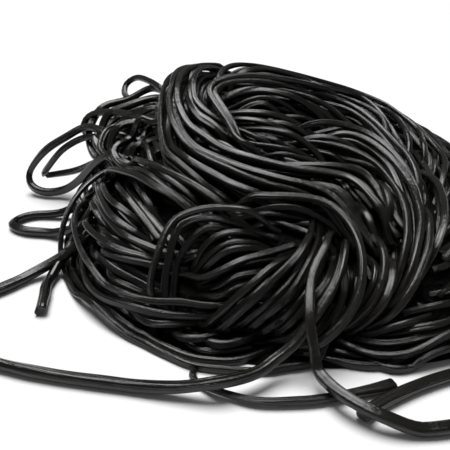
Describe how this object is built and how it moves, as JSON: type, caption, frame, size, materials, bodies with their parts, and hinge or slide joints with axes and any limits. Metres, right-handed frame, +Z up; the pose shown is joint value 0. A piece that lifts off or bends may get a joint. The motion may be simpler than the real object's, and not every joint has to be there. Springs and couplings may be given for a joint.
{
  "type": "heap of licorice laces",
  "caption": "Tangled heap of glossy black licorice laces, with loose loops at one side and cut ends trailing round its foot.",
  "frame": {"origin": "on the table, at the middle of the flat underside of the heap", "axes": "+Z up from the table, +X to the right as the heap is seen in the picture, +Y away from the viewer"},
  "size_m": [0.2483, 0.2475, 0.0639],
  "materials": {
    "licorice": "satin-gloss black licorice with fine lengthwise drawing lines"
  },
  "bodies": {
    "root": {"lace_heap": "licorice"}
  },
  "joints": []
}
